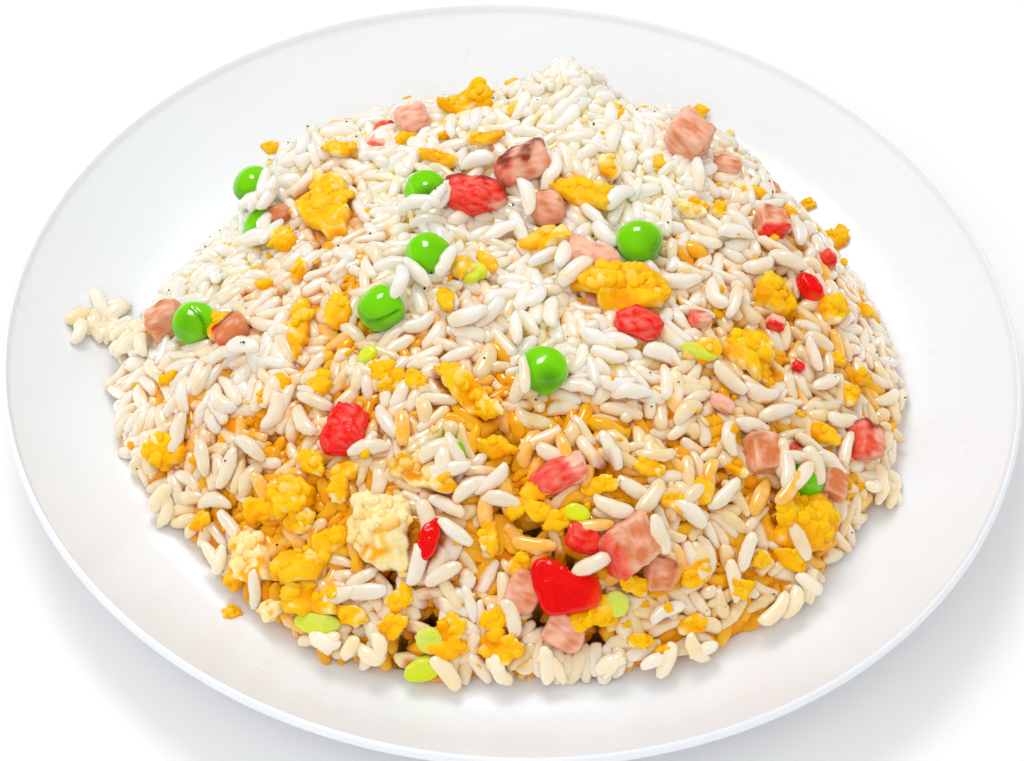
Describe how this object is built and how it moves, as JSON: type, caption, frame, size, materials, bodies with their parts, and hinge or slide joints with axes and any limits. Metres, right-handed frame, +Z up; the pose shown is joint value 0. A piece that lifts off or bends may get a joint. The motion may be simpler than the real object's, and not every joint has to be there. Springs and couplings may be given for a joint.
{
  "type": "plate of fried rice",
  "caption": "Round white coupe plate with a heaped serving of fried rice, with peas, ham dice, red pepper, egg scraps and spring onion lying in the heap",
  "frame": {"origin": "middle of the plate's foot ring, on the table", "axes": "+Z up, -Y towards the diner, +X to the diner's right"},
  "size_m": [0.21, 0.21, 0.0487],
  "materials": {
    "porcelain": "glossy white glazed porcelain",
    "rice": "moist cooked rice, creamy white with yellow egg between the grains",
    "pea": "bright green cooked pea with a glossy skin",
    "ham": "diced cooked ham, pink inside with browned red edges",
    "pepper": "glossy red pepper skin",
    "onion": "pale green cooked spring onion",
    "egg": "soft scrambled egg, deep yellow with paler curds"
  },
  "bodies": {
    "root": {"egg_1": "egg", "egg_10": "egg", "egg_11": "egg", "egg_12": "egg", "egg_13": "egg", "egg_14": "egg", "egg_15": "egg", "egg_16": "egg", "egg_17": "egg", "egg_18": "egg", "egg_2": "egg", "egg_3": "egg", "egg_4": "egg", "egg_5": "egg", "egg_6": "egg", "egg_7": "egg", "egg_8": "egg", "egg_9": "egg", "ham_1": "ham", "ham_10": "ham", "ham_11": "ham", "ham_12": "ham", "ham_13": "ham", "ham_14": "ham", "ham_15": "ham", "ham_16": "ham", "ham_17": "ham", "ham_18": "ham", "ham_19": "ham", "ham_2": "ham", "ham_20": "ham", "ham_3": "ham", "ham_4": "ham", "ham_5": "ham", "ham_6": "ham", "ham_7": "ham", "ham_8": "ham", "ham_9": "ham", "pea_1": "pea", "pea_10": "pea", "pea_2": "pea", "pea_3": "pea", "pea_4": "pea", "pea_5": "pea", "pea_6": "pea", "pea_7": "pea", "pea_8": "pea", "pea_9": "pea", "plate": "porcelain", "red_pepper_1": "pepper", "red_pepper_2": "pepper", "red_pepper_3": "pepper", "rice_heap": "rice", "spring_onion_1": "onion", "spring_onion_2": "onion", "spring_onion_3": "onion", "spring_onion_4": "onion"}
  },
  "joints": []
}
